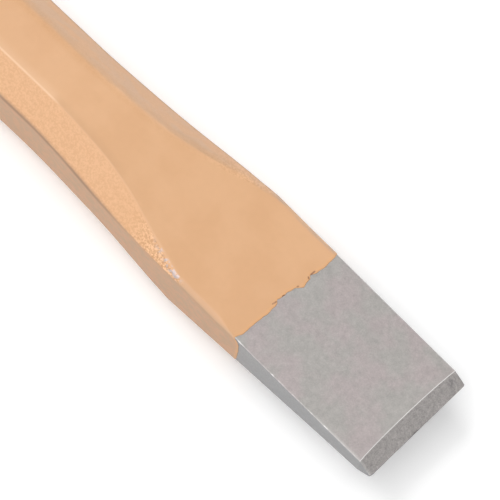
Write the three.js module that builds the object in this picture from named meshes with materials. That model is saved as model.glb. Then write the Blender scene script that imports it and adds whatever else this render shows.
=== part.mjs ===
// A flat cold chisel, in millimetres: one forging from octagonal bar, with a coat of lacquer on all
// of it but its ground ends. +X points towards the cutting edge and +Z up. The origin is half way
// along the chisel, on the surface that the chisel lies on.

import * as THREE from "three";
import { LoftGeometry } from "three/addons/geometries/LoftGeometry.js";

const { lerp, smoothstep } = THREE.MathUtils;

// Overall sizes
const LENGTH = 200;
const BAR_ACROSS_FLATS = 20;
const BLADE_WIDTH = 25;

// Cutting end: two short bevels meet in an edge with a narrow flat land
const EDGE_LAND = 0.3;
const BEVEL_LENGTH = 3.1;
const BEVEL_THICKNESS = 5;

// Blade: its faces spread faster towards the bar, as thickness gained per millimetre of length
const TIP_SPREAD = 0.12;
const ROOT_SPREAD = 0.22;
const SPREAD_CHANGE_LENGTH = 48;
const ROOT_BLEND = 2.2;

// Flare: the sides widen from the bar at the first distance to the full blade at the second
const FLARE_START = 92;
const FLARE_END = 48;

// Corner faces of the octagon, which narrow to a point where the bar becomes the flat blade. The
// upper pair run out in a long taper, and the lower pair end more bluntly.
const CORNER_WIDTH = 5.2;
const CORNER_HEIGHT_RATIO = 0.8;
const CORNER_BLEND = 1.6;
const UPPER_CORNER = { vanish: 46.5, narrowing: 0.225 };
const LOWER_CORNER = { vanish: 50, narrowing: 0.3 };
const EDGE_BREAK = 0.3;
const LAND_BREAK_RATIO = 0.3;

// Struck end: a plain taper with a bevelled rim
const HEAD_LENGTH = 16;
const HEAD_ACROSS_FLATS = 16.4;
const HEAD_RIM = 1.6;

// Lacquer coat: a skin from the head's taper to the ground tip, just clear of the steel
const COAT_FRONT = 34;
const COAT_BACK = LENGTH - HEAD_LENGTH;
const COAT_OUTSIDE = 0.08;
const COAT_INSIDE = 0.02;
const OCTAGON_OFFSET = Math.tan(Math.PI / 8);

const AXIS_HEIGHT = BAR_ACROSS_FLATS / 2 + COAT_OUTSIDE;

const TIP_STEPS = 10;
const BLADE_STEPS = 26;

// The lesser of two values, rounded off where they are within reach of each other.
function smoothMin(a, b, reach) {
  const overlap = Math.max(reach - Math.abs(a - b), 0) / reach;
  return Math.min(a, b) - (overlap * overlap * reach) / 4;
}

// Every distance below runs back along the chisel from the cutting edge.

function bladeThickness(distance) {
  const run = distance - BEVEL_LENGTH;
  const curved = Math.min(run, SPREAD_CHANGE_LENGTH);
  const gained = (curved * curved) / (2 * SPREAD_CHANGE_LENGTH) + (run - curved);
  return BEVEL_THICKNESS + TIP_SPREAD * run + (ROOT_SPREAD - TIP_SPREAD) * gained;
}

// Across the flats of the bar, and less on the head's taper and rim.
function barThickness(distance) {
  const rimStart = LENGTH - HEAD_RIM;
  if (distance <= COAT_BACK) return BAR_ACROSS_FLATS;
  if (distance > rimStart) return HEAD_ACROSS_FLATS - 2 * (distance - rimStart);
  const along = (distance - COAT_BACK) / (rimStart - COAT_BACK);
  return lerp(BAR_ACROSS_FLATS, HEAD_ACROSS_FLATS, along);
}

function thickness(distance) {
  if (distance < BEVEL_LENGTH) return lerp(EDGE_LAND, BEVEL_THICKNESS, distance / BEVEL_LENGTH);
  return smoothMin(barThickness(distance), bladeThickness(distance), ROOT_BLEND);
}

function width(distance) {
  const blade = 1 - smoothstep(distance, FLARE_END, FLARE_START);
  return lerp(barThickness(distance), BLADE_WIDTH, blade);
}

// How far a corner face reaches in from the side of the section.
function cornerWidth(distance, { vanish, narrowing }) {
  const onBar = (CORNER_WIDTH * barThickness(distance)) / BAR_ACROSS_FLATS;
  const onBlade = narrowing * (distance - vanish);
  const full = Math.max(smoothMin(onBar, onBlade, CORNER_BLEND), EDGE_BREAK);
  return Math.min(full, LAND_BREAK_RATIO * thickness(distance));
}

// The eight corners of the section, anticlockwise seen from the cutting edge. grow moves every side
// of the section out by that much.
function section(distance, grow = 0) {
  const x = LENGTH / 2 - distance;
  const side = width(distance) / 2;
  const top = thickness(distance) / 2;
  // The two ends of a corner face towards +Y, on the side and on the flat.
  const cornerFace = (shape, direction) => {
    const corner = cornerWidth(distance, shape);
    const flatEnd = side - corner + OCTAGON_OFFSET * grow;
    const sideEnd = top - CORNER_HEIGHT_RATIO * corner + OCTAGON_OFFSET * grow;
    return [
      [side + grow, direction * sideEnd],
      [flatEnd, direction * (top + grow)],
    ];
  };
  const mirrored = (points) => points.map(([y, z]) => [-y, z]).reverse();
  const upper = cornerFace(UPPER_CORNER, 1);
  const lower = cornerFace(LOWER_CORNER, -1).reverse();
  const outline = [...upper, ...mirrored(upper), ...mirrored(lower), ...lower];
  return outline.map(([y, z]) => new THREE.Vector3(x, y, AXIS_HEIGHT + z));
}

function steps(from, to, count) {
  return Array.from({ length: count }, (_, i) => lerp(from, to, i / count));
}

// Distances of the sections, from the struck face to the cutting edge.
const stations = [
  LENGTH,
  LENGTH - HEAD_RIM,
  COAT_BACK,
  ...steps(FLARE_START, COAT_FRONT, BLADE_STEPS),
  ...steps(COAT_FRONT, BEVEL_LENGTH, TIP_STEPS),
  BEVEL_LENGTH,
  0,
];

function forgedBody() {
  const sections = stations.map((distance) => section(distance));
  const geometry = new LoftGeometry(sections, { capStart: true, capEnd: true });
  const steel = new THREE.MeshStandardMaterial({ color: 0xb0aca8, roughness: 0.45, metalness: 1 });
  const mesh = new THREE.Mesh(geometry, steel);
  mesh.name = "forged_body";
  return mesh;
}

// The loft runs forward along the outside of the coat, back along its inside, and closes on itself.
function lacquerCoat() {
  const covered = stations.filter((distance) => distance <= COAT_BACK && distance >= COAT_FRONT);
  const outside = covered.map((distance) => section(distance, COAT_OUTSIDE));
  const inside = covered.map((distance) => section(distance, COAT_INSIDE)).reverse();
  const geometry = new LoftGeometry([...outside, ...inside, outside[0]]);
  const lacquer = new THREE.MeshStandardMaterial({ color: 0xe5b389, roughness: 0.4, metalness: 0 });
  const mesh = new THREE.Mesh(geometry, lacquer);
  mesh.name = "lacquer_coat";
  return mesh;
}

const chisel = new THREE.Group();
chisel.add(forgedBody(), lacquerCoat());

export default chisel;
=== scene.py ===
"""A flat cold chisel, forged in one piece from octagonal bar and dipped in tan lacquer.

Shapes are worked out in millimetres and turned into metres when a mesh is made. A distance always
runs back along the chisel from its cutting edge. Near means towards -Y and far towards +Y.
"""

import math

import bpy
import numpy as np
from mathutils import Matrix, Vector, noise


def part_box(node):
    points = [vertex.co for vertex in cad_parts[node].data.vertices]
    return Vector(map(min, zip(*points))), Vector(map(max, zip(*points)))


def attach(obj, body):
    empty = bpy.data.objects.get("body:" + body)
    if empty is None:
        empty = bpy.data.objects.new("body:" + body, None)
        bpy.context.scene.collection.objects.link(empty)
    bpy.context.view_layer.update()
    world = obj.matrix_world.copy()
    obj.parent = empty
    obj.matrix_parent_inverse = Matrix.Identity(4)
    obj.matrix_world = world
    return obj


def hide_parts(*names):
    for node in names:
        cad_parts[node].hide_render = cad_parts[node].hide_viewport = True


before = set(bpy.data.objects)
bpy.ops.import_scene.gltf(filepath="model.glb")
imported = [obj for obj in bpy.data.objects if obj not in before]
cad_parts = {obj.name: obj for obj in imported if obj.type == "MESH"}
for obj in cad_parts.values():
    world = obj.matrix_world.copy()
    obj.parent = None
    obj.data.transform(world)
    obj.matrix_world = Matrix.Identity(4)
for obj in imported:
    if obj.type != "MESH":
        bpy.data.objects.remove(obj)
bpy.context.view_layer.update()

MM = 0.001


# ---------------------------------------------------------------------------------------------
# Driving dimensions, in millimetres
# ---------------------------------------------------------------------------------------------

steel_low, steel_high = (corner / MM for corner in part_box("forged_body"))
coat_low, coat_high = (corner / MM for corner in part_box("lacquer_coat"))

# From the frame
EDGE_X = steel_high.x
LENGTH = steel_high.x - steel_low.x
BLADE_WIDTH = steel_high.y - steel_low.y
BAR = steel_high.z - steel_low.z
AXIS_Z = (steel_high.z + steel_low.z) / 2
COAT = coat_high.z - steel_high.z
COAT_FRONT = EDGE_X - coat_high.x
COAT_BACK = EDGE_X - coat_low.x

# Cutting end
EDGE_LAND = 0.3
BEVEL_LENGTH = 3.1
BEVEL_THICKNESS = 5.0

# The bevel's rear is bowed. It is BEVEL_BOW longer than BEVEL_LENGTH in the middle, loses
# BEVEL_DROOP by both sides, and is BEVEL_SKEW shorter still on the far side and longer on the near
# one. The blade straightens out over BOW_FADE behind it.
BEVEL_BOW = 0.22
BEVEL_DROOP = 0.42
BEVEL_SKEW = 0.1
BOW_FADE = 10.0

# How far the near side is ground in at the edge, how far the edge is worn back all along it, and
# how far back its nicks reach
TIP_LEAN = 0.13
EDGE_WEAR = 0.03
NICK_REACH = 0.9

# Blade faces, as thickness gained per millimetre of length
TIP_SPREAD = 0.12
ROOT_SPREAD = 0.22
SPREAD_CHANGE_LENGTH = 48.0
ROOT_BLEND = 2.2

# Sides of the blade
FLARE_START = 92.0
FLARE_END = 48.0

# Corner faces of the octagon
CORNER_WIDTH = 5.2
CORNER_HEIGHT_RATIO = 0.8
CORNER_BLEND = 1.6
UPPER_CORNER = {"vanish": 46.5, "narrowing": 0.225}
LOWER_CORNER = {"vanish": 50.0, "narrowing": 0.30}
EDGE_BREAK = 0.3
BARE_EDGE_BREAK = 0.12
COATED_EDGE_BREAK = 0.85

# Struck end
HEAD_ACROSS_FLATS = 16.4
HEAD_RIM = 1.6
RIM_BLEND = 0.9
CROWN = 0.3
CROWN_POWER = 2.5

# Smooth waves in the surfaces and borders, each as (height, size, seed). The ground ends have
# GROUND_SHARE of the forged faces' waves.
FORGED_WAVES = [(0.09, 26, 1), (0.035, 8, 2)]
BORDER_WAVES = [(0.13, 0.9, 3), (0.07, 0.5, 4)]
BACK_WAVES = [(0.5, 6, 5), (0.12, 1.2, 6)]
SAND_WAVES = [(0.032, 0.9, 7), (0.018, 0.5, 8)]
GROUND_SHARE = 0.2

# How sandy the scale on the near corner face is along the bar, next to 1 where the face runs out,
# and the share of it that the far corner face has
BAR_ROUGHNESS = 0.22
FAR_ROUGHNESS = 0.35

# Lacquer. The film stands COAT_INSIDE off the steel. It is BORDER_THICKNESS thick at its very
# border, and has a rounded lip there. Its rings straighten out over BORDER_FADE behind the border.
COAT_INSIDE = 0.02
BORDER_THICKNESS = 0.005
LIP_RISE = 0.01
LIP_ROUNDING = 0.25
LIP_SINKS = (0.3, 1.1)
BORDER_FADE = 9.0

# The lacquer's ragged front border: (millimetres round the section from its upper far edge,
# distance). It runs over the upper face, down the near side, under the blade and up the far side.
BORDER = [
    (0.0, 32.9), (1.5, 32.7), (3.5, 32.7), (4.7, 32.95), (5.9, 33.2), (6.5, 33.5), (6.8, 33.05),
    (8.0, 32.9), (8.8, 32.7), (9.3, 33.0), (9.9, 33.5), (10.5, 33.7), (11.7, 34.0), (13.5, 34.15),
    (14.1, 34.3), (14.5, 33.9), (15.3, 33.75), (17.5, 33.65), (19.3, 33.9), (21.5, 34.05),
    (23.4, 34.1), (24.0, 34.45), (24.7, 34.6), (25.4, 33.8), (26.5, 33.4), (29.0, 33.2),
    (33.0, 33.3), (36.0, 33.6), (41.0, 33.4), (44.0, 34.1), (49.0, 33.7), (52.0, 34.3), (57.0, 33.8),
    (61.0, 33.2), (66.0, 33.0), (70.0, 32.9),
]

# Cracks in the lacquer's edge on the upper face, each from one (y, distance) to another
CRACKS = [
    ((7.1, 33.42), (6.2, 33.5)),
    ((5.5, 33.5), (5.3, 33.2)),
    ((2.9, 33.5), (2.7, 33.6)),
    ((-0.2, 34.05), (-0.5, 34.15)),
    ((-2.0, 34.2), (-2.9, 34.35)),
]

# Nicks in the cutting edge: (y, depth, half width)
NICKS = [
    (-0.5, 0.16, 0.9), (4.6, 0.07, 0.5), (-6.8, 0.08, 1.0), (9.4, 0.10, 0.5), (2.0, 0.05, 0.4),
    (12.8, 0.16, 0.4), (-12.8, 0.28, 0.6),
]

# Dents in the struck face: (y, height over the axis, depth, radius)
DENTS = [
    (1.5, 2.0, 0.22, 2.6), (-2.8, 0.4, 0.16, 2.0), (0.4, -2.9, 0.18, 1.8), (3.9, -1.2, 0.10, 1.4),
    (-1.2, 4.2, 0.12, 1.5), (-4.4, -2.9, 0.08, 1.2), (2.2, -5.1, 0.07, 1.1), (4.6, 3.4, 0.06, 1.0),
]

# A distance attribute's value where its feature is out of reach
OUT_OF_REACH = 9.0


# ---------------------------------------------------------------------------------------------
# Shape functions
# ---------------------------------------------------------------------------------------------

def smooth_min(a, b, reach):
    """The lesser of two values, rounded off where they are within reach of each other."""
    overlap = np.maximum(reach - np.abs(a - b), 0) / reach
    return np.minimum(a, b) - overlap * overlap * reach / 4


def smooth_step(value, low, high):
    t = np.clip((value - low) / (high - low), 0, 1)
    return t * t * (3 - 2 * t)


def blade_thickness(distance):
    run = distance - BEVEL_LENGTH
    curved = np.minimum(np.maximum(run, 0), SPREAD_CHANGE_LENGTH)
    gained = curved * curved / (2 * SPREAD_CHANGE_LENGTH) + np.maximum(run - curved, 0)
    return BEVEL_THICKNESS + TIP_SPREAD * run + (ROOT_SPREAD - TIP_SPREAD) * gained


def bar_thickness(distance):
    """Across the flats of the bar, and less on the head's taper and rim."""
    rim_start = LENGTH - HEAD_RIM
    taper = np.clip((distance - COAT_BACK) / (rim_start - COAT_BACK), 0, 1)
    rim = -smooth_min(rim_start - distance, 0, RIM_BLEND)
    return BAR + (HEAD_ACROSS_FLATS - BAR) * taper - 2 * rim


def thickness(distance):
    return smooth_min(bar_thickness(distance), blade_thickness(distance), ROOT_BLEND)


def width(distance):
    bar = bar_thickness(distance)
    return bar + (BLADE_WIDTH - bar) * (1 - smooth_step(distance, FLARE_END, FLARE_START))


def corner_width(distance, least, vanish, narrowing):
    """How far a corner face reaches in from the side of the section."""
    on_bar = CORNER_WIDTH * bar_thickness(distance) / BAR
    on_blade = narrowing * (distance - vanish)
    return np.maximum(smooth_min(on_bar, on_blade, CORNER_BLEND), least)


def edge_break(distance, coated_width):
    """The blade's edges are crisper on the bare steel than under the lacquer."""
    coated = smooth_step(distance, COAT_FRONT - 0.5, COAT_FRONT + 6)
    return BARE_EDGE_BREAK + (coated_width - BARE_EDGE_BREAK) * coated


def octagon(distance):
    """The eight corners (y, z) of each section, anticlockwise seen from the cutting edge."""
    side = width(distance) / 2
    top = thickness(distance) / 2

    def corner_face(shape, least, across, up):
        corner = corner_width(distance, least, **shape)
        on_flat = (across * (side - corner), up * top)
        on_side = (across * side, up * (top - CORNER_HEIGHT_RATIO * corner))
        return [on_side, on_flat] if across == up else [on_flat, on_side]

    places = [
        *corner_face(UPPER_CORNER, edge_break(distance, EDGE_BREAK), 1, 1),
        *corner_face(UPPER_CORNER, edge_break(distance, COATED_EDGE_BREAK), -1, 1),
        *corner_face(LOWER_CORNER, EDGE_BREAK, -1, -1),
        *corner_face(LOWER_CORNER, EDGE_BREAK, 1, -1),
    ]
    return np.stack([np.stack(place, -1) for place in places], -2)


# ---------------------------------------------------------------------------------------------
# Section outlines with rounded ridges
# ---------------------------------------------------------------------------------------------

# The sides of a section in order. The ridge of the same number is the one that ends the side.
SIDES = range(8)
FAR_CORNER, TOP, NEAR_CORNER, NEAR_SIDE, LOW_NEAR_CORNER, BOTTOM, LOW_FAR_CORNER, FAR_SIDE = SIDES

# How far the rounding of a ridge reaches. Most are soft. The near upper one, which ends the top, is
# as soft on the blade and turns crisp over a stretch of distance behind it.
SOFT_RIDGE = 0.7
CRISP_RIDGE = 0.3
TURNS_CRISP = (50, 60)
OTHER_RIDGES = {FAR_CORNER: 1.5, NEAR_CORNER: 0.35, NEAR_SIDE: 0.45}

# The most of a side that the rounding at one of its ends may take
MOST_ROUNDED = 0.45


def ridge_radius(distance):
    """How far each ridge's rounding reaches (section, ridge)."""
    radius = np.full((len(distance), len(SIDES)), SOFT_RIDGE)
    for ridge, reach in OTHER_RIDGES.items():
        radius[:, ridge] = reach
    radius[:, TOP] -= (SOFT_RIDGE - CRISP_RIDGE) * smooth_step(distance, *TURNS_CRISP)
    return radius


class Perimeter:
    """How many points each side and each rounding of a section gets, the same on every section."""

    def __init__(self, counts, rounding):
        places = []
        for index, count in enumerate(counts):
            places += [(index, 0, t) for t in np.linspace(0, 1, count)]
            places += [(index, 1, t) for t in np.linspace(0, 1, rounding + 2)[1:-1]]
        self.side = np.array([place[0] for place in places])
        self.rounded = np.array([place[1] for place in places]) == 1
        self.t = np.array([place[2] for place in places])

    def outline(self, corners, radius):
        """Points (section, place, 2) round the corners, each cut back by up to its radius."""
        following = np.roll(corners, -1, axis=1)
        edges = following - corners
        lengths = np.linalg.norm(edges, axis=-1)
        unit = edges / lengths[..., None]
        room = MOST_ROUNDED * np.minimum(lengths, np.roll(lengths, -1, axis=1))
        cut_after = np.minimum(radius, room)
        cut_before = np.roll(cut_after, 1, axis=1)
        starts = corners + unit * cut_before[..., None]
        ends = following - unit * cut_after[..., None]
        t = self.t[None, :, None]
        straight = starts[:, self.side] * (1 - t) + ends[:, self.side] * t
        next_starts = np.roll(starts, -1, axis=1)[:, self.side]
        peak = following[:, self.side]
        curve = ends[:, self.side] * (1 - t) ** 2 + peak * 2 * t * (1 - t) + next_starts * t ** 2
        return np.where(self.rounded[None, :, None], curve, straight)

    def from_ridge(self, outline, ridge):
        """Millimetres round each section past a ridge's middle, and less than 0 before it."""
        steps = np.linalg.norm(np.diff(outline, axis=1), axis=-1)
        along = np.concatenate([np.zeros((len(outline), 1)), np.cumsum(steps, axis=1)], axis=1)
        middle = np.flatnonzero(self.rounded & (self.side == ridge))
        return along - along[:, middle].mean(axis=1, keepdims=True)


def surface_points(distance, around, grow):
    """Points (ring, place, 3) on the chisel grown by some millimetres. The distance may differ
    from place to place within a ring, and so may the growth."""
    nominal = distance.mean(axis=1)
    outline = around.outline(octagon(nominal), ridge_radius(nominal))
    wider = width(distance) / width(nominal)[:, None]
    thicker = thickness(distance) / thickness(nominal)[:, None]
    y = outline[..., 0] * wider
    z = AXIS_Z + outline[..., 1] * thicker
    flat = np.stack([EDGE_X - distance, y, z], -1)
    return flat + surface_normals(flat) * grow[..., None], outline


def surface_normals(points):
    """Outward normals of a grid of points (ring, place, 3) whose rings run towards the edge."""
    around = np.roll(points, -1, axis=1) - np.roll(points, 1, axis=1)
    along = np.gradient(points, axis=0)
    normals = np.cross(around, along)
    return normals / np.maximum(np.linalg.norm(normals, axis=-1, keepdims=True), 1e-9)


# How far apart in the noise two seeds are
SEED_STEP = (17.3, 5.1, 9.7)


def waves(points, size, seed):
    """Smooth noise from -1 to 1 at each point, with features of about size millimetres."""
    shift = Vector([seed * step for step in SEED_STEP])
    flat = points.reshape(-1, 3) / size
    values = [noise.noise(Vector(point) + shift) for point in flat.tolist()]
    return np.array(values).reshape(points.shape[:-1])


def wave_sum(points, layers):
    return sum(height * waves(points, size, seed) for height, size, seed in layers)


def forging(points, distance):
    """How far the forged faces wander, in millimetres, and less where the steel is ground."""
    forged = smooth_step(distance, COAT_FRONT - 4, COAT_FRONT + 14)
    forged = forged * (1 - smooth_step(distance, COAT_BACK - 6, COAT_BACK))
    return (GROUND_SHARE + (1 - GROUND_SHARE) * forged) * wave_sum(points, FORGED_WAVES)


def corner_roughness(around, distance):
    """How rough the scale on the corner faces is at each point, from 0 to 1. It is roughest where
    the faces run out."""
    near = around.side == NEAR_CORNER
    far = around.side == FAR_CORNER
    share = np.where(near, 1.0, np.where(far, FAR_ROUGHNESS, 0.0))[None, :]
    on_bar = BAR_ROUGHNESS * smooth_step(distance, 46, 60)
    at_end = (1 - smooth_step(distance, 53, 68)) * smooth_step(distance, 47.5, 50.5)
    return share * np.maximum(on_bar, at_end)


def loft_mesh(name, rings, caps, attributes):
    """A mesh object through rings (ring, place, 3) in millimetres, with a float per point for each
    attribute. It closes on itself where it has no caps."""
    ring_count, place_count = rings.shape[:2]
    bands = np.arange(ring_count - 1 if caps else ring_count)[:, None]
    places = np.arange(place_count)[None, :]
    ahead = (bands + 1) % ring_count
    beside = (places + 1) % place_count
    quads = np.stack([
        bands * place_count + places,
        bands * place_count + beside,
        ahead * place_count + beside,
        ahead * place_count + places,
    ], -1).reshape(-1, 4)
    faces = quads.tolist()
    if caps:
        last = (ring_count - 1) * place_count
        faces.append(list(range(place_count))[::-1])
        faces.append(list(range(last, last + place_count)))
    mesh = bpy.data.meshes.new(name)
    mesh.from_pydata((rings.reshape(-1, 3) * MM).tolist(), [], faces)
    for key, values in attributes.items():
        layer = mesh.attributes.new(key, "FLOAT", "POINT")
        layer.data.foreach_set("value", values.reshape(-1).astype(np.float32))
    mesh.shade_smooth()
    piece = bpy.data.objects.new(name, mesh)
    bpy.context.scene.collection.objects.link(piece)
    return piece


# ---------------------------------------------------------------------------------------------
# Steel
# ---------------------------------------------------------------------------------------------

FACE_RINGS = 14

# Points along each side of a section, in the order of the sides
STEEL_COUNTS = (5, 96, 6, 20, 5, 60, 5, 16)


def bevel_length(y):
    """The bevel is a little longer in the middle of the blade than at its sides."""
    across = y / (BLADE_WIDTH / 2)
    return BEVEL_LENGTH + BEVEL_BOW - BEVEL_DROOP * np.abs(across) ** 2.5 - BEVEL_SKEW * across


def steel_distances():
    """Where the rings of the sides lie, from the head to the edge."""
    at_bevel = BEVEL_LENGTH + np.array([-0.16, -0.09, -0.04, 0, 0.04, 0.09, 0.16])
    return np.concatenate([
        np.linspace(0, BEVEL_LENGTH - 0.3, 12),
        at_bevel,
        np.linspace(BEVEL_LENGTH + 0.35, COAT_FRONT + 3, 100),
        np.linspace(COAT_FRONT + 3.6, 100, 90),
        np.linspace(102, COAT_BACK - 3, 42),
        np.linspace(COAT_BACK - 2, LENGTH - HEAD_RIM - 0.1, 40),
        np.linspace(LENGTH - HEAD_RIM, LENGTH, 6),
    ])[::-1]


def struck_face(rim):
    """Rings (ring, place, 3) from the middle of the struck face out to its rim. The face is
    slightly crowned and has a few dents."""
    axis = np.array([EDGE_X - LENGTH, 0, AXIS_Z])
    share = np.linspace(0.03, 0.985, FACE_RINGS)[:, None, None]
    points = axis + (rim - axis) * share ** [CROWN_POWER, 1, 1]
    for y, height, depth, radius in DENTS:
        away = np.hypot(points[..., 1] - y, points[..., 2] - AXIS_Z - height)
        points[..., 0] += depth * (1 - smooth_step(away, 0, radius))
    return points


def edge_nicks(y, distance):
    """How far the cutting edge is pushed back at each point."""
    depth = sum(deep * np.exp(-((y - middle) / half) ** 2) for middle, deep, half in NICKS)
    return (depth + EDGE_WEAR) * (1 - smooth_step(distance, 0, NICK_REACH))


def bow_bevel(points, distance):
    """Bends a grid of points so that the bevel gets its own length at each place across the blade.
    Gives back the bent distances and the bevel's length at each point."""
    own_bevel = bevel_length(points[..., 1])
    past = np.clip((distance - BEVEL_LENGTH) / BOW_FADE, 0, 1)
    behind = distance + (own_bevel - BEVEL_LENGTH) * (1 - past)
    bent = np.where(distance < BEVEL_LENGTH, distance * own_bevel / BEVEL_LENGTH, behind)
    half = np.where(
        bent < own_bevel,
        EDGE_LAND / 2 + (blade_thickness(own_bevel) - EDGE_LAND) / 2 * bent / own_bevel,
        thickness(bent) / 2,
    )
    points[..., 2] = AXIS_Z + (points[..., 2] - AXIS_Z) * half / (thickness(distance) / 2)
    points[..., 0] = EDGE_X - bent
    return bent, own_bevel


def build_steel():
    around = Perimeter(STEEL_COUNTS, rounding=4)
    distance = np.repeat(steel_distances()[:, None], len(around.side), axis=1)
    points, outline = surface_points(distance, around, np.zeros(distance.shape))
    bent, own_bevel = bow_bevel(points, distance)
    points += surface_normals(points) * forging(points, bent)[..., None]
    points[..., 0] -= edge_nicks(points[..., 1], bent)
    towards_near = np.clip(0.5 - points[..., 1] / BLADE_WIDTH, 0, 1)
    points[..., 1] += TIP_LEAN * towards_near * (1 - smooth_step(bent, 0, COAT_FRONT))
    points[..., 0] += CROWN * smooth_step(distance, LENGTH - HEAD_RIM, LENGTH)

    face = struck_face(points[0])
    rings = np.concatenate([face, points])
    on_face = np.full(face.shape[:2], LENGTH + 1)
    off_ridge = np.full(face.shape[:2], OUT_OF_REACH)
    ridge = np.concatenate([off_ridge, around.from_ridge(outline, TOP)])
    attributes = {
        "distance": np.concatenate([on_face, bent]),
        "behind_bevel": np.concatenate([on_face, bent - own_bevel]),
        "from_near_ridge": ridge,
    }
    return loft_mesh("forged_steel", rings, True, attributes)


# ---------------------------------------------------------------------------------------------
# Lacquer
# ---------------------------------------------------------------------------------------------

# Points along each side of a section, in the order of the sides
COAT_COUNTS = (14, 112, 24, 24, 10, 44, 10, 14)


def film_outside(from_border):
    """How far the film's outside stands off the steel at some millimetres from its border. It has
    a rounded lip and then sinks to its plain thickness."""
    rounding = np.clip(from_border / LIP_ROUNDING, 0, 1)
    rise = np.sqrt(rounding * (2 - rounding))
    lip = LIP_RISE * (1 - smooth_step(from_border, *LIP_SINKS))
    return COAT_INSIDE + BORDER_THICKNESS + (COAT - COAT_INSIDE + lip) * rise


def ragged(travelled, layers):
    """Waves in a border that runs round the section."""
    level = np.zeros(len(travelled))
    return wave_sum(np.stack([travelled, level, level], -1), layers)


def border_distance(around, outline):
    """The distance of the lacquer's front border at each place round the section."""
    travelled = around.from_ridge(outline, FAR_CORNER)[0]
    middle = np.array([point[0] for point in BORDER])
    length = middle[-1]
    known = np.array([point[1] for point in BORDER])
    return np.interp(travelled % length, middle, known) + ragged(travelled, BORDER_WAVES)


def back_distance(around, outline):
    """The distance of the lacquer's rear border at each place round the section."""
    travelled = around.from_ridge(outline, FAR_CORNER)[0]
    return COAT_BACK + ragged(travelled, BACK_WAVES)


def coat_distances(rings, front, back):
    """Distances (ring, place) that follow the ragged borders at both ends and straighten out."""
    nominal = rings[:, None]
    from_front = 1 - smooth_step(nominal, COAT_FRONT + 1, COAT_FRONT + BORDER_FADE)
    from_back = smooth_step(nominal, COAT_BACK - BORDER_FADE, COAT_BACK - 1)
    return nominal + (front - COAT_FRONT) * from_front + (back - COAT_BACK) * from_back


def crack_distance(points, distance):
    """Millimetres from each point of the upper face to the nearest crack."""
    nearest = np.full(points.shape[:2], OUT_OF_REACH)
    spot = np.stack([points[..., 1], distance], -1)
    for start, end in CRACKS:
        start = np.array(start)
        run = np.array(end) - start
        t = np.clip(((spot - start) @ run) / (run @ run), 0, 1)
        away = np.linalg.norm(spot - start - t[..., None] * run, axis=-1)
        nearest = np.minimum(nearest, away)
    return np.where(points[..., 2] > AXIS_Z, nearest, OUT_OF_REACH)


def outside_rings():
    """Where the rings of the film's outside lie. They are closest at its borders."""
    at_border = np.array([0, 0.03, 0.08, 0.15, 0.25, 0.45, 0.7, 1.0])
    return np.concatenate([
        COAT_FRONT + at_border,
        np.linspace(COAT_FRONT + 1.4, 46, 24)[:-1],
        np.linspace(46, 98, 150)[:-1],
        np.linspace(98, COAT_BACK - 1.6, 46),
        COAT_BACK - at_border[::-1],
    ])[::-1]


def inside_rings():
    return np.concatenate([
        [COAT_FRONT, COAT_FRONT + 0.5],
        np.linspace(COAT_FRONT + 2, 100, 44)[:-1],
        np.linspace(100, COAT_BACK, 14),
    ])[::-1]


def build_coat():
    around = Perimeter(COAT_COUNTS, rounding=4)
    at_front = np.array([COAT_FRONT])
    front_outline = around.outline(octagon(at_front), ridge_radius(at_front))
    front = border_distance(around, front_outline)
    back = back_distance(around, front_outline)
    outside = coat_distances(outside_rings(), front, back)
    inside = coat_distances(inside_rings(), front, back)

    grow = film_outside(np.minimum(outside - front, back - outside))
    outer, outline = surface_points(outside, around, grow)
    normals = surface_normals(outer)
    rough = corner_roughness(around, outside)
    raised = forging(outer, outside) + rough * wave_sum(outer, SAND_WAVES)
    outer = outer + normals * raised[..., None]
    inner, inner_outline = surface_points(inside, around, np.full(inside.shape, COAT_INSIDE))
    inner = inner + surface_normals(inner) * forging(inner, inside)[..., None]

    def both(outer_values, inner_values):
        return np.concatenate([outer_values, inner_values[::-1]])

    def past_ridge(ridge):
        return both(around.from_ridge(outline, ridge), around.from_ridge(inner_outline, ridge))

    attributes = {
        "distance": both(outside, inside),
        "behind_border": both(outside - front, inside - front),
        "from_far_ridge": past_ridge(FAR_CORNER),
        "from_near_ridge": past_ridge(TOP),
        "from_lower_ridge": past_ridge(NEAR_CORNER),
        "roughness": both(rough, np.zeros(inside.shape)),
        "crack": both(crack_distance(outer, outside), np.full(inside.shape, OUT_OF_REACH)),
    }
    return loft_mesh("lacquer_skin", both(outer, inner), False, attributes)


# ---------------------------------------------------------------------------------------------
# Materials
# ---------------------------------------------------------------------------------------------

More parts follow.
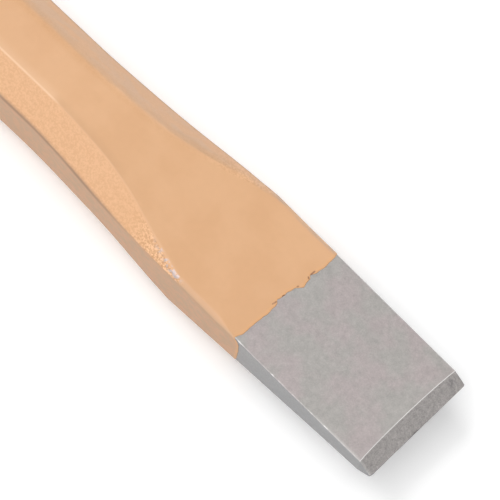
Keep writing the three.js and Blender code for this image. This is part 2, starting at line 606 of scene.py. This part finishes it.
class Graph:
    """A material whose nodes are added and joined one call at a time. Sizes are in millimetres."""

    def __init__(self, name):
        self.material = bpy.data.materials.new(name)
        self.material.use_nodes = True
        self.tree = self.material.node_tree
        self.shader = self.tree.nodes["Principled BSDF"]
        coordinates = self.tree.nodes.new("ShaderNodeTexCoord")
        self.place = coordinates.outputs["Object"]

    def join(self, value, socket):
        if isinstance(value, bpy.types.NodeSocket):
            self.tree.links.new(value, socket)
        else:
            socket.default_value = value

    def set(self, name, value):
        """Gives one of the shader's inputs a value or another node's output."""
        self.join(value, self.shader.inputs[name])

    def math(self, operation, a, b=0.0):
        node = self.tree.nodes.new("ShaderNodeMath")
        node.operation = operation
        self.join(a, node.inputs[0])
        self.join(b, node.inputs[1])
        return node.outputs[0]

    def chain(self, operation, values):
        """An operation carried through some values from the first to the last."""
        result = values[0]
        for value in values[1:]:
            result = self.math(operation, result, value)
        return result

    def product(self, *values):
        return self.chain("MULTIPLY", values)

    def most(self, *values):
        """The greatest of some values."""
        return self.chain("MAXIMUM", values)

    def inverse(self, value):
        return self.math("SUBTRACT", 1.0, value)

    def vary(self, value, noise, amount):
        """The value moved up and down by a noise round its middle."""
        change = self.math("MULTIPLY", self.math("SUBTRACT", noise, 0.5), amount)
        return self.math("ADD", value, change)

    def attribute(self, name):
        node = self.tree.nodes.new("ShaderNodeAttribute")
        node.attribute_name = name
        return node.outputs["Fac"]

    def noise(self, size, detail=2.0, stretch=1.0):
        """Noise from 0 to 1 with features of about a size, drawn out along the chisel by stretch."""
        scale = self.tree.nodes.new("ShaderNodeVectorMath")
        scale.operation = "MULTIPLY"
        step = 1 / (size * MM)
        self.join(self.place, scale.inputs[0])
        scale.inputs[1].default_value = (step / stretch, step, step)
        node = self.tree.nodes.new("ShaderNodeTexNoise")
        node.inputs["Scale"].default_value = 1.0
        node.inputs["Detail"].default_value = detail
        self.join(scale.outputs[0], node.inputs["Vector"])
        return node.outputs["Fac"]

    def ramp(self, value, low, high):
        """From 0 at low to 1 at high, smoothly."""
        node = self.tree.nodes.new("ShaderNodeMapRange")
        node.interpolation_type = "SMOOTHSTEP"
        self.join(value, node.inputs["Value"])
        node.inputs["From Min"].default_value = low
        node.inputs["From Max"].default_value = high
        return node.outputs["Result"]

    def fall(self, value, low, high):
        """From 1 at low to 0 at high, smoothly."""
        return self.inverse(self.ramp(value, low, high))

    def between(self, value, rise, fall):
        """0 up to the start of the rise, 1 from its end to the start of the fall, and 0 after it."""
        return self.product(self.ramp(value, *rise), self.fall(value, *fall))

    def band(self, value, middle, reach):
        """1 at the middle and 0 a reach away from it on both sides."""
        away = self.math("ABSOLUTE", self.math("SUBTRACT", value, middle))
        return self.fall(away, 0.0, reach)

    def patches(self, size, detail, low, high, stretch=1.0):
        """Noise that is 0 under low, 1 over high and changes smoothly from one to the other."""
        return self.ramp(self.noise(size, detail, stretch), low, high)

    def spot(self, centre, reach):
        """1 round a point of the part's frame, in millimetres, and 0 a reach away from it."""
        node = self.tree.nodes.new("ShaderNodeVectorMath")
        node.operation = "DISTANCE"
        self.join(self.place, node.inputs[0])
        node.inputs[1].default_value = [value * MM for value in centre]
        core = 0.3 * reach
        return self.fall(node.outputs["Value"], core * MM, reach * MM)

    def mix(self, share, a, b):
        """A colour part of the way from a to b."""
        node = self.tree.nodes.new("ShaderNodeMix")
        node.data_type = "RGBA"
        self.join(share, node.inputs["Factor"])
        for value, socket in ((a, node.inputs["A"]), (b, node.inputs["B"])):
            self.join(value if isinstance(value, bpy.types.NodeSocket) else (*value, 1.0), socket)
        return node.outputs["Result"]

    def tint(self, colour, other, *shares):
        """The colour mixed towards another by the product of the shares."""
        return self.mix(self.product(*shares), colour, other)

    def blend(self, share, a, b):
        """A value part of the way from a to b."""
        node = self.tree.nodes.new("ShaderNodeMix")
        self.join(share, node.inputs["Factor"])
        self.join(a, node.inputs["A"])
        self.join(b, node.inputs["B"])
        return node.outputs["Result"]

    def speckle(self, colour, noise, strength):
        """The colour made lighter and darker by a noise round its middle."""
        node = self.tree.nodes.new("ShaderNodeVectorMath")
        node.operation = "SCALE"
        self.join(colour, node.inputs[0])
        self.join(self.vary(1.0, noise, strength), node.inputs["Scale"])
        return node.outputs[0]

    def relief(self, height, depth, under=None):
        """A bump of a height from 0 to 1 that is some millimetres deep."""
        node = self.tree.nodes.new("ShaderNodeBump")
        node.inputs["Distance"].default_value = depth * MM
        self.join(height, node.inputs["Height"])
        if under is not None:
            self.join(under, node.inputs["Normal"])
        return node.outputs["Normal"]


# ---------------------------------------------------------------------------------------------
# Lacquer material
# ---------------------------------------------------------------------------------------------

TAN = (0.655, 0.370, 0.191)
TAN_PALE = (0.680, 0.392, 0.208)
TAN_SATURATED = (0.710, 0.375, 0.165)
CORNER_TAN = (0.690, 0.385, 0.198)
SHADED_TAN = (0.500, 0.285, 0.148)
# Painted highlight by and along the near upper ridge, on the bar
RIDGE_HIGHLIGHT = (0.800, 0.520, 0.320)
EDGE_TAN = (0.640, 0.371, 0.205)
GREY_EDGE_TAN = (0.480, 0.335, 0.225)
FAR_PINK = (0.610, 0.355, 0.200)
FAR_GREY = (0.575, 0.360, 0.225)
# Painted shade along the blade's far edge
FAR_EDGE_SHADE = (0.400, 0.300, 0.250)
SIDE_PINK = (0.548, 0.322, 0.198)
SIDE_GREY = (0.494, 0.321, 0.206)
SAND_DARK = (0.560, 0.285, 0.130)
SAND_LIGHT = (0.850, 0.525, 0.300)
CRACK = (0.180, 0.075, 0.045)
# Dark colour of the chip on the far side, and of a line of painted shade under the near corner face
CHIP_AND_SHADE_LINE = (0.260, 0.150, 0.100)
BARE_METAL = (0.520, 0.470, 0.480)

# Stretches of distance over which the near corner face ends, and over which the bar begins
CORNER_FACE_END = (48.0, 50.5)
BAR_START = (86.5, 90.0)

# A chip by the upper ridge of the far side: its place in the part's frame, and its reach
CHIP = ((32.1, 11.4, 15.0), 0.9)


class Lacquer(Graph):
    """Tan lacquer: thick and even on the flats, thin and blotchy down the sides, sandy over the
    scale of the corner faces. Each layer takes the colour so far and gives the next one."""

    def __init__(self):
        super().__init__("tan_lacquer")
        self.distance = self.attribute("distance")
        self.past_far = self.attribute("from_far_ridge")
        self.past_near = self.attribute("from_near_ridge")
        self.past_lower = self.attribute("from_lower_ridge")
        self.rough = self.attribute("roughness")
        self.fine = self.noise(1.3, 3.0)
        self.grain = self.noise(0.36, 1.0)
        self.sandy = self.blend(0.4, self.grain, self.noise(0.7))
        self.on_blade = self.fall(self.distance, *CORNER_FACE_END)
        self.on_bar = self.ramp(self.distance, *BAR_START)
        self.on_side = self.ramp(self.past_lower, -0.1, 0.3)
        self.wear_and_highlight = self.product(
            self.between(self.distance, (48.2, 49.7), (53.0, 59.0)),
            self.between(self.past_near, (-0.15, 0.2), (0.6, 1.5)),
            self.patches(0.8, 3.0, 0.44, 0.56),
        )

    def flats(self):
        colour = self.mix(self.patches(9.0, 3.0, 0.38, 0.62), TAN, TAN_PALE)
        colour = self.tint(colour, SAND_DARK, self.ramp(self.distance, 84.0, 100.0), 0.18)
        return self.speckle(colour, self.fine, 0.05)

    def far_corner(self, colour):
        """Blotchy, with a band of painted shade before its ridge and a line of painted shade along it,
        and a chip below.
        """
        blotches = self.mix(self.patches(2.2, 4.0, 0.4, 0.6, 2.0), FAR_PINK, FAR_GREY)
        colour = self.tint(colour, blotches, self.fall(self.past_far, -0.9, 0.1), 0.9)
        past_hollow = self.vary(self.past_far, self.noise(4.0), 1.6)
        # Painted shade in a wandering band before the ridge
        hollow_shade = self.between(past_hollow, (-2.4, -0.5), (-0.35, 0.25))
        behind_face_end = self.ramp(self.distance, 52.0, 62.0)
        fainter = self.blend(self.ramp(self.distance, 64.0, 90.0), 0.62, 0.4)
        colour = self.tint(colour, SHADED_TAN, hollow_shade, behind_face_end, fainter)
        # Painted shade along the ridge over a short stretch
        crease_shade = self.band(self.past_far, -0.25, 0.6)
        crease_shade_reach = self.between(self.distance, (54.0, 63.0), (65.0, 71.0))
        colour = self.tint(colour, SHADED_TAN, crease_shade, crease_shade_reach, 0.7)
        jagged = self.ramp(self.grain, 0.4, 0.5)
        return self.tint(colour, CHIP_AND_SHADE_LINE, self.spot(*CHIP), jagged, 0.85)

    def far_edge_shade(self, colour):
        """Painted shade: a thin grey line along the blade's far edge, in streaks, up to where the
        corner face runs out.
        """
        on_edge = self.fall(self.past_far, -0.1, 0.8)
        ahead = self.fall(self.distance, 49.0, 55.0)
        streaks = self.blend(self.patches(1.5, 3.0, 0.4, 0.6, 3.0), 0.35, 1.0)
        return self.tint(colour, FAR_EDGE_SHADE, on_edge, ahead, streaks, 0.7)

    def near_ridge(self, colour):
        """Painted shade darkens the flat towards the ridge on the blade's root, and a painted
        highlight brightens the flat by the ridge and the ridge itself on the bar. Below the ridge the
        film is bright on the corner face, and greyer and darker along the blade's edge."""
        # Painted shade by the ridge on the blade's root, and a painted highlight by it on the bar
        before = self.between(self.past_near, (-2.2, -0.2), (-0.1, 0.1))
        at_root = self.product(self.ramp(self.distance, 66.0, 74.0), self.inverse(self.on_bar))
        colour = self.tint(colour, SHADED_TAN, before, at_root, 0.24)
        colour = self.tint(colour, RIDGE_HIGHLIGHT, before, self.on_bar, 0.3)
        face = self.speckle(CORNER_TAN, self.fine, 0.06)
        below = self.mix(self.on_blade, face, EDGE_TAN)
        colour = self.tint(colour, below, self.ramp(self.past_near, -0.1, 0.15))
        # Greyer and darker along the blade's edge, where the corner face meets the side
        edge_greying = self.ramp(self.past_lower, -0.6, 0.2)
        colour = self.tint(colour, GREY_EDGE_TAN, edge_greying, self.on_blade, 0.5)
        # Painted highlight along the ridge on the bar
        return self.tint(colour, RIDGE_HIGHLIGHT, self.band(self.past_near, 0.0, 0.3), self.on_bar, 0.85)

    def sides(self, colour):
        """Thin film, blotchy down both sides and underneath."""
        blotches = self.mix(self.patches(1.3, 4.0, 0.38, 0.62), SIDE_PINK, SIDE_GREY)
        return self.tint(colour, blotches, self.on_side)

    def sand(self, colour):
        grains = self.mix(self.ramp(self.sandy, 0.38, 0.62), SAND_DARK, SAND_LIGHT)
        return self.tint(colour, grains, self.rough)

    def bare_flakes(self, colour):
        """Bare metal along the upper ridge where the near corner face runs out."""
        return self.tint(colour, BARE_METAL, self.wear_and_highlight, 0.85)

    def scale(self, colour):
        """Painted shade under the near corner face: a dark broken line, strongest at the ridge and
        fainter on the bar, and a softer shade on the side below it.
        """
        line = self.band(self.past_lower, 0.45, 1.1)
        shade_stretch = self.ramp(self.distance, 58.0, 76.0)
        fainter = self.blend(self.ramp(self.distance, 96.0, 125.0), 1.0, 0.35)
        broken = self.blend(self.patches(3.0, 3.0, 0.35, 0.55, 3.0), 0.55, 1.0)
        colour = self.tint(colour, CHIP_AND_SHADE_LINE, line, shade_stretch, fainter, broken, 0.9)
        under_ridge = self.between(self.past_lower, (0.0, 0.3), (0.3, 2.2))
        return self.tint(colour, SHADED_TAN, under_ridge, 0.3)

    def border(self, colour):
        """A deeper colour in the lip of the front border, and cracks."""
        lip = self.fall(self.attribute("behind_border"), 0.15, 1.0)
        colour = self.tint(colour, TAN_SATURATED, lip, 0.45)
        cracked = self.fall(self.attribute("crack"), 0.04, 0.24)
        return self.tint(colour, CRACK, cracked, 0.8)

    def gloss(self):
        roughness = self.blend(self.on_side, 0.40, 0.55)
        roughness = self.blend(self.rough, roughness, 0.6)
        return self.vary(roughness, self.fine, 0.12)

    def surface(self):
        peel = self.relief(self.noise(0.9, 3.0), 0.012)
        gravel = self.product(self.sandy, self.rough)
        return self.relief(gravel, 0.14, peel)


def lacquer_material():
    film = Lacquer()
    colour = film.flats()
    for layer in (film.far_corner, film.far_edge_shade, film.near_ridge, film.sides, film.sand,
                  film.bare_flakes, film.scale, film.border):
        colour = layer(colour)
    film.set("Base Color", colour)
    film.set("Metallic", film.product(film.wear_and_highlight, 0.8))
    film.set("Roughness", film.gloss())
    film.set("Specular IOR Level", film.blend(film.on_side, 0.55, 0.25))
    film.set("Normal", film.surface())
    return film.material


# ---------------------------------------------------------------------------------------------
# Steel material
# ---------------------------------------------------------------------------------------------

STEEL_PINK = (0.500, 0.446, 0.440)
STEEL_GREEN = (0.468, 0.448, 0.428)
SIDE_STEEL = (0.325, 0.322, 0.324)
STEEL_DARK = (0.300, 0.285, 0.285)
BEVEL_STEEL = (0.475, 0.448, 0.436)
# Colour of the painted highlights behind the upper bevel and along the near upper edge
HIGHLIGHT_WHITE = (0.980, 0.960, 0.950)
HEAD_STEEL = (0.430, 0.415, 0.400)
HEAD_DARK = (0.230, 0.205, 0.185)

# Stretches of the blade's near upper edge with a painted highlight: (middle, reach)
HIGHLIGHT_STRETCHES = [(25.4, 3.2), (12.2, 3.6), (33.6, 1.6)]

# Pitted corners of the upper bevel: (place in the part's frame, reach)
PITS = [((98.3, 10.6, 11.6), 1.3), ((98.7, -11.4, 11.0), 1.0)]


class Steel(Graph):
    """Tool steel: a fine satin grind with faint clouds on the blade, a coarser bevel with a painted
    highlight behind it, a painted highlight along the blade's near upper edge, and a ground and
    struck head. Each layer takes the colour so far."""

    def __init__(self):
        super().__init__("tool_steel")
        self.distance = self.attribute("distance")
        self.behind_bevel = self.attribute("behind_bevel")
        self.past_near = self.attribute("from_near_ridge")
        self.mottle = self.noise(1.1, 4.0)
        self.grain = self.noise(0.28)
        self.scratches = self.noise(0.12, 1.0, 40.0)
        self.rings = self.noise(6.0, 3.0, 0.03)
        self.on_bevel = self.fall(self.behind_bevel, -0.06, 0.02)
        self.on_side = self.ramp(self.past_near, 0.0, 0.15)
        self.on_head = self.ramp(self.distance, COAT_BACK - 1, COAT_BACK + 2)
        self.shine = self.most(self.bevel_highlight(), self.edge_highlight())

    def bevel_highlight(self):
        """How strong the painted highlight behind the upper bevel is."""
        return self.product(self.band(self.behind_bevel, 0.0, 0.11), self.inverse(self.on_side), 0.8)

    def edge_highlight(self):
        """How strong the painted highlight on the blade's near upper edge is: in patches, and softly
        near the tip.
        """
        towards_tip = self.product(self.fall(self.distance, 16.0, 28.0), 0.45)
        stretches = [self.band(self.distance, *stretch) for stretch in HIGHLIGHT_STRETCHES]
        wear_and_highlight = self.most(towards_tip, *stretches)
        ridge = self.band(self.past_near, 0.0, 0.16)
        bright = self.product(ridge, self.patches(1.2, 4.0, 0.46, 0.6), wear_and_highlight)
        near_tip = self.fall(self.distance, 8.0, 20.0)
        # A softer painted highlight round the ridge near the tip
        soft_highlight = self.product(self.band(self.past_near, -0.1, 0.5), near_tip, 0.22)
        return self.product(self.most(bright, soft_highlight), 0.75)

    def blade(self):
        colour = self.mix(self.patches(7.0, 4.0, 0.38, 0.62), STEEL_GREEN, STEEL_PINK)
        for noise_value, strength in ((self.mottle, 0.36), (self.grain, 0.34), (self.scratches, 0.03)):
            colour = self.speckle(colour, noise_value, strength)
        return colour

    def bevel(self, colour):
        coarse = self.speckle(self.speckle(BEVEL_STEEL, self.grain, 0.8), self.noise(0.8, 3.0), 0.5)
        colour = self.tint(colour, coarse, self.on_bevel)
        corners = self.most(*[self.spot(*pit) for pit in PITS])
        pitted = self.product(corners, self.patches(0.7, 3.0, 0.42, 0.56))
        return self.tint(colour, STEEL_DARK, pitted, 0.7)

    def sides(self, colour):
        side = self.speckle(self.speckle(SIDE_STEEL, self.grain, 0.4), self.mottle, 0.3)
        return self.tint(colour, side, self.on_side)

    # Painted highlights: whitened behind the upper bevel and along the near upper edge
    def brightened(self, colour):
        return self.tint(colour, HIGHLIGHT_WHITE, self.shine)

    def head(self, colour):
        """Ground round its taper, tarnished in patches, and marked by blows on its face."""
        head = self.speckle(self.speckle(HEAD_STEEL, self.rings, 0.5), self.grain, 0.3)
        head = self.tint(head, HEAD_DARK, self.patches(3.2, 5.0, 0.44, 0.72), 0.38)
        on_face = self.ramp(self.distance, LENGTH - 0.2, LENGTH + 0.5)
        head = self.tint(head, HEAD_DARK, self.patches(0.8, 4.0, 0.52, 0.66), on_face, 0.5)
        return self.tint(colour, head, self.on_head)

    def surface(self):
        ground = self.relief(self.blend(self.on_head, self.scratches, self.rings), 0.004)
        cloudy = self.relief(self.mottle, 0.008, ground)
        coarser = self.product(self.grain, self.blend(self.on_bevel, 0.25, 1.0))
        return self.relief(coarser, 0.02, cloudy)


def steel_material():
    steel = Steel()
    colour = steel.blade()
    for layer in (steel.bevel, steel.sides, steel.brightened, steel.head):
        colour = layer(colour)
    steel.set("Base Color", colour)
    # The painted highlights are not metallic
    steel.set("Metallic", steel.inverse(steel.product(steel.shine, 0.9)))
    steel.set("Roughness", steel.vary(steel.blend(steel.on_bevel, 0.5, 0.58), steel.mottle, 0.16))
    steel.set("Normal", steel.surface())
    return steel.material


# ---------------------------------------------------------------------------------------------
# Floor, lights and camera
# ---------------------------------------------------------------------------------------------

PALE = (0.95, 0.95, 0.95)
FLOOR_GLOW = 0.12

# Half the floor's side, in metres
FLOOR_HALF = 3.0


def floor_material():
    graph = Graph("pale_floor")
    graph.set("Base Color", graph.speckle(PALE, graph.noise(40.0), 0.01))
    graph.set("Roughness", 0.9)
    graph.set("Emission Color", (1, 1, 1, 1))
    graph.set("Emission Strength", FLOOR_GLOW)
    return graph.material


def build_floor():
    mesh = bpy.data.meshes.new("studio_floor")
    signs = [(-1, -1), (1, -1), (1, 1), (-1, 1)]
    corners = [(FLOOR_HALF * x, FLOOR_HALF * y, 0) for x, y in signs]
    mesh.from_pydata(corners, [], [(0, 1, 2, 3)])
    floor = bpy.data.objects.new("studio_floor", mesh)
    bpy.context.scene.collection.objects.link(floor)
    floor.data.materials.append(floor_material())


# Soft lights aimed at the chisel: (name, place in metres, side of the square, watts)
LIGHTS = [
    ("overhead", (0.0, 0.0, 1.5), 1.5, 6.2),
    ("near_high", (-0.08, -1.02, 1.36), 1.2, 10.0),
    ("back_high", (-1.1, 0.0, 1.28), 1.2, 17.5),
    ("near_low", (-0.17, -1.53, 0.6), 1.0, 5.0),
    ("far_low", (0.0, 1.53, 0.6), 1.0, 9.5),
    ("front", (1.45, -0.17, 0.85), 1.2, 7.8),
]
AMBIENT = 0.03


def build_lights():
    world = bpy.data.worlds.new("studio")
    world.use_nodes = True
    world.node_tree.nodes["Background"].inputs["Color"].default_value = (1, 1, 1, 1)
    world.node_tree.nodes["Background"].inputs["Strength"].default_value = AMBIENT
    bpy.context.scene.world = world
    for name, place, size, power in LIGHTS:
        data = bpy.data.lights.new(name, "AREA")
        data.shape = "SQUARE"
        data.size = size
        data.energy = power
        lamp = bpy.data.objects.new(name, data)
        lamp.location = place
        lamp.rotation_euler = (-Vector(place)).to_track_quat("-Z", "Y").to_euler()
        bpy.context.scene.collection.objects.link(lamp)


# The camera looks down on the blade's upper face, a little from the near side and from in front.
# Lengths are in metres. The frame's middle is back and up from the middle of the cutting edge.
TOWARDS_CAMERA = Vector((0.192, -0.293, 0.937)).normalized()
AXIS_TILT = math.radians(43.45)
CAMERA_DISTANCE = 0.8
FRAME_WIDTH = 0.0903
AIM_BACK = 0.03025
AIM_UP = 0.03275


def build_camera():
    """A camera that sees the chisel's axis run down to the right at AXIS_TILT."""
    axis = Vector((1, 0, 0))
    along = (axis - axis.dot(TOWARDS_CAMERA) * TOWARDS_CAMERA).normalized()
    across = TOWARDS_CAMERA.cross(along)
    right = math.cos(AXIS_TILT) * along + math.sin(AXIS_TILT) * across
    up = math.cos(AXIS_TILT) * across - math.sin(AXIS_TILT) * along
    edge = Vector((EDGE_X, 0, AXIS_Z)) * MM
    target = edge - AIM_BACK * right + AIM_UP * up
    data = bpy.data.cameras.new("camera")
    data.sensor_width = 36
    data.lens = data.sensor_width * CAMERA_DISTANCE / FRAME_WIDTH
    data.clip_start = 0.01
    data.clip_end = 10
    camera = bpy.data.objects.new("camera", data)
    place = target + CAMERA_DISTANCE * TOWARDS_CAMERA
    facing = Matrix((right, up, TOWARDS_CAMERA)).transposed().to_4x4()
    camera.matrix_world = Matrix.Translation(place) @ facing
    bpy.context.scene.collection.objects.link(camera)
    bpy.context.scene.camera = camera


# ---------------------------------------------------------------------------------------------
# The scene
# ---------------------------------------------------------------------------------------------

def settle(piece, node, material):
    """Gives a piece its material and puts it in the place of a node of the frame."""
    piece.data.materials.append(material)
    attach(piece, "root")
    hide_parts(node)


bpy.context.scene.view_settings.view_transform = "Standard"
build_camera()
build_lights()
build_floor()

settle(build_steel(), "forged_body", steel_material())
settle(build_coat(), "lacquer_coat", lacquer_material())
